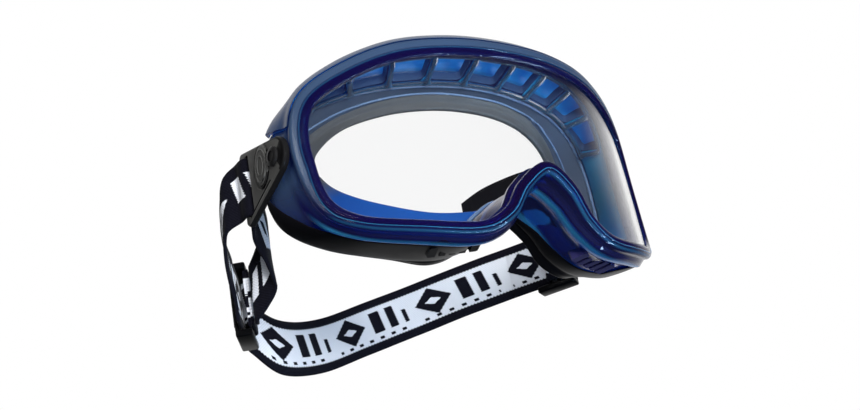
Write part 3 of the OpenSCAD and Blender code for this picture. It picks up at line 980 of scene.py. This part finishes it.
def furrow_section(k, h):
    """Round section of the groove across the clip's face, k of the way along it."""
    at = FURROW[0] + (FURROW[1] - FURROW[0]) * k
    turns = [math.pi * j / 4 for j in range(8)]
    return np.array([(h + FURROW_R * math.sin(t), *(at + FURROW_R * math.cos(t) * FURROW_ACROSS))
                     for t in turns])


def make_clip(side, name):
    x = CLIP_X + CLIP_T / 2
    h = CLIP_T / 2
    layers = ((1.1, -h), (0.35, -h + 0.2), (0, -h + 0.8), (0, h - 0.9), (0.4, h - 0.25), (1.2, h))
    plate = solid("plate", stack([(outline(inset), up) for inset, up in layers]), side, x, M_CLIP)
    slot_rect = rounded_rect((SLOT[0] + SLOT[1]) / 2, SLOT_Z, *SLOT_HALF, SLOT_ROUND)
    slot = solid("slot", stack([(slot_rect, -3), (slot_rect, 3)]), side, x)
    hole = solid("hole", stack([(circle(BORE_R), -3), (circle(BORE_R), 3)]), side, x)
    cy, cz, ry, rz, lean = MEDAL
    groove = solid("groove", tube([(y, z, h) for y, z in ellipse(cy, cz, ry, rz, lean)], 0.65), side, x)
    furrow = solid("furrow", sweep([furrow_section(k, h) for k in (0, 0.5, 1)], closed=False), side, x)
    boolean(plate, [slot, hole, groove, furrow])
    steps = [(ellipse(cy, cz, ry - dy, rz - dz, lean), h + top) for dy, dz, top in MEDAL_STEPS]
    medal = solid("medal", stack(steps), side, x, M_CLIP)
    rings = []
    for i, (r1, r2, top) in enumerate(MEDAL_RINGS):
        path = [(y, z, h + top) for y, z in ellipse(cy, cz, r1, r2, lean)]
        rings.append(solid("ring%d" % i, tube(path, 0.32), side, x, M_CLIP))
    clip = join(name, [plate, medal] + rings)
    # the round end at the pivot and the lower front edge are black
    clip.data.materials.append(M_BLACK)
    for f in clip.data.polygons:
        y, z = f.center[1] / MM, f.center[2] / MM
        lower_front = abs(f.normal[0]) < 0.95 and z < PIVOT[1] - 0.5 * (y - PIVOT[0])
        if y < BLACK_BELOW_Y or lower_front:
            f.material_index = 1
    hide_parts(name.replace("clip_shape", "strap_clip"))
    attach(clip, "headband" if side < 0 else "left_clip")


make_clip(-1, "clip_shape_right")
make_clip(1, "clip_shape_left")


for side, name in ((-1, "right"), (1, "left")):
    base = CLIP_X + CLIP_T + 0.2
    pin = solid("pin_turned_" + name, stack([
        (circle(2.1), 78.4 - base), (circle(2.5), 78.9 - base), (circle(2.5), 0), (circle(3.8), 0),
        (circle(4.0), 0.25), (circle(3.9), 0.9), (circle(3.3), 1.35), (circle(2.2), 1.4), (circle(2.0), 1.1),
        (circle(0.8), 1.05)]), side, base, M_BLACK)
    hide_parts("pivot_pin_" + name)
    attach(pin, "goggles")

# webbing routes, as in the CAD source: x, y, z in mm and the pitch of the width
SLIDER_AT = {-1: (-73.0, 83.0, -22.5), 1: (81.0, 67.5, 6.0)}
HEADING = {-1: math.radians(56), 1: math.radians(120)}
LOOP_X, BEND = CLIP_X + CLIP_T / 2, CLIP_T / 2 + STRAP_T / 2 + 0.3


def along_strap(side, u, n, pitch=0.0):
    a = HEADING[side]
    way = np.array([math.cos(a), math.sin(a), 0])
    out = np.array([side * math.sin(a), -side * math.cos(a), 0])
    return (*(np.array(SLIDER_AT[side]) + u * way + n * out), pitch)


def round_bar(side):
    """The webbing's way round the clip's rear bar, as (outward, back) steps from the slot."""
    steps = ((BEND, 4.5), (BEND, 0.6), (BEND * 0.75, -1.5), (0, -2.4),
             (-BEND * 0.75, -1.5), (-BEND, 0.6), (-BEND, 4.5))
    return [(side * (LOOP_X + a), SLOT[1] + b, SLOT_Z, 0.0) for a, b in steps]


BACK_ROUTE = [(-46, 104, -30, 0), (-22, 112, -25, 0), (5, 115, -14, 0), (32, 111, -4, 0), (52, 100, 2, 0)]
BAND = ([along_strap(-1, u, 0) for u in (-16, 0, 16, 22)] + BACK_ROUTE
        + [along_strap(1, u, 0) for u in (25, 19, 0, -10)])
RIGHT_OUT = [(-84, 66.5, -20, 10), (-87.5, 62.5, -11, 18), (-90, 57.5, -1.5, 14), (-90.5, 52.5, 6.5, 6)]
RIGHT_IN = [(-79, 52.5, 6, 8), (-73.5, 55, -3, 12), (-70, 59.5, -11, 12), (-72, 64.5, -18, 8)]
RIGHT = ([along_strap(-1, -16.5, 0)] + RIGHT_OUT + round_bar(-1) + RIGHT_IN
         + [along_strap(-1, u, -6.9) for u in (-12, -9)])
LEFT = [along_strap(1, -11, 0)] + round_bar(1) + [along_strap(1, u, -6.4) for u in (-11, -9)]
END = [(-9, -4.9), (-2, -4.9), (1.8, -4.9), (3, -4.2), (3, -2.3),
       (1.8, -1.65), (-2, -1.65), (-4.5, -3.2), (-8.5, -3.62)]
TAIL = [(73.25, 65.3, 10.5, 0), (75.5, 58, 16.5, 0), (75.5, 51, 22.5, 0), (72.5, 46.5, 27.5, 0),
        (68.5, 48, 30.5, 0), (66, 55, 32.5, 0), (63.5, 68, 35, 0), (61, 84, 37, 0), (59, 98, 36.5, 0)]


def smooth_route(r, m):
    """A curve through the route's points, with m steps between two of them."""
    r = [np.array(p, float) for p in r]
    ends = [r[0]] + r + [r[-1]]
    return [spline(*ends[i:i + 4], j / m) for i in range(len(r) - 1) for j in range(m)] + [r[-1]]


SELVEDGE, SELVEDGE_H, CUTS, FADE_ROWS = 0.06, 0.28, 12, 6
OFF_PATTERN, PATTERNED_ROWS = 100.0, 5


def ribbon(name, route, m, width, thick, start=0.0, ripple=0.0, turned=0.0, plain=0.0):
    """Flat woven strap with rounded selvedges; the weave attribute holds length and place across in mm,
    and 1 where light and black change places. A plain offset moves the place across off the figures,
    except on the last rows."""
    q = smooth_route(route, m)
    half = []
    for i in range(CUTS + 1):
        k = -1 + 2 * i / CUTS
        half.append((k * (width / 2 - 0.35), thick / 2 * (1 - 0.1 * (abs(k) > 0.9))))
    edge, high = width / 2, thick * SELVEDGE_H
    section = half + [(edge - SELVEDGE, high), (edge, 0), (edge - SELVEDGE, -high)]
    section += [(-a, -b) for a, b in half]
    section += [(-edge + SELVEDGE, -high), (-edge, 0), (-edge + SELVEDGE, high)]
    rows, weave = [], []
    s = start
    for i, p in enumerate(q):
        a, b = q[max(0, i - 1)], q[min(len(q) - 1, i + 1)]
        if i:
            s += float(np.linalg.norm(p[:3] - q[i - 1][:3]))
        way = unit(b[:3] - a[:3])
        flat = unit(np.array([way[0], way[1], 0]))
        t = math.radians(p[3])
        across = math.cos(t) * np.array([0, 0, 1.0]) + math.sin(t) * flat
        out = unit(np.cross(way, across))
        fade = min(1.0, i / FADE_ROWS, (len(q) - 1 - i) / FADE_ROWS)
        wave = [ripple * fade * math.sin(s * 0.21 + w * 0.11) for w, _ in section]
        rows.append(np.array([p[:3] + w * across + (h + r) * out for (w, h), r in zip(section, wave)]))
        shift = plain if i < len(q) - PATTERNED_ROWS else 0.0
        weave += [(s, w + shift, turned) for w, _ in section]
    verts, faces = sweep(rows, closed=False)
    ob = add(name, verts, faces, M_WEB, sharp=70)
    at = ob.data.attributes.new("weave", "FLOAT_VECTOR", "POINT")
    at.data.foreach_set("vector", [c for w in weave for c in w])
    return outward(ob)


for name, node_name, body, route, m, width, thick, start, ripple, turned in (
        ("webbing_back", "strap_band", "headband", BAND, 10, STRAP_W, STRAP_T, 4.0, 0.12, 0),
        ("webbing_loop_right", "strap_loop_right", "headband", RIGHT, 8, STRAP_W, STRAP_T, 30.0, 0.0, 1),
        ("webbing_loop_left", "strap_loop_left", "headband", LEFT, 8, STRAP_W, STRAP_T, 9.0, 0.0, 1),
        ("webbing_end_right", "strap_end_right", "right_slider", END, 6, STRAP_W - 0.6, 1.2, 3.0, 0.0, 0),
        ("webbing_end_left", "strap_end_left", "left_slider", END, 6, STRAP_W - 0.6, 1.2, 3.0, 0.0, 0),
        ("webbing_tail_left", "strap_tail_left", "left_slider", TAIL, 8, 20.0, STRAP_T, 9.8, 0.0, 1)):
    if route is END:
        side = -1 if name.endswith("right") else 1
        route = [along_strap(side, u, n) for u, n in END]
    plain = OFF_PATTERN if route is TAIL else 0.0
    ob = ribbon(name, route, m, width, thick, start, ripple, turned, plain)
    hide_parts(node_name)
    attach(ob, body)


# sliders: two rails and three bars with rounded edges
def rounded_box(size, at, r):
    bm = bmesh.new()
    bmesh.ops.create_cube(bm, size=1.0)
    for v in bm.verts:
        v.co = Vector([v.co[i] * size[i] for i in range(3)])
    bmesh.ops.bevel(bm, geom=list(bm.edges), offset=r, offset_type="OFFSET", segments=3, profile=0.5,
                    affect="EDGES")
    v = [tuple(p.co + Vector(at)) for p in bm.verts]
    f = [tuple(p.index for p in q.verts) for q in bm.faces]
    bm.free()
    return np.array(v), f


def make_slider(side, name):
    h, length, bar = STRAP_W + 1.2, 18.0, 3.0
    boxes = [((length, 7.0, 2.9), (0, -0.9, k * (h / 2 + 1.45)), 0.8) for k in (-1, 1)]
    boxes += [((bar, 1.6, h + 1.0), (k * (length / 2 - bar / 2), 1.8, 0), 0.5) for k in (-1, 1)]
    boxes += [((bar, 1.8, h + 1.0), (0, -3.3, 0), 0.6)]
    boxes += [((1.2, 0.7, h - 3), (k * (length / 2 - 1.5), 2.55, 0), 0.3) for k in (-1, 1)]
    verts, faces = merged([rounded_box(*box) for box in boxes])
    verts = [np.array(along_strap(side, p[0], p[1])[:3]) + np.array([0, 0, p[2]]) for p in verts]
    return add(name, verts, faces, M_BLACK, sharp=50)


for side, tag in ((-1, "right"), (1, "left")):
    ob = make_slider(side, "slider_" + tag)
    if side < 0:
        ob.data.flip_normals()
    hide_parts("strap_slider_" + tag)
    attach(ob, tag + "_slider")
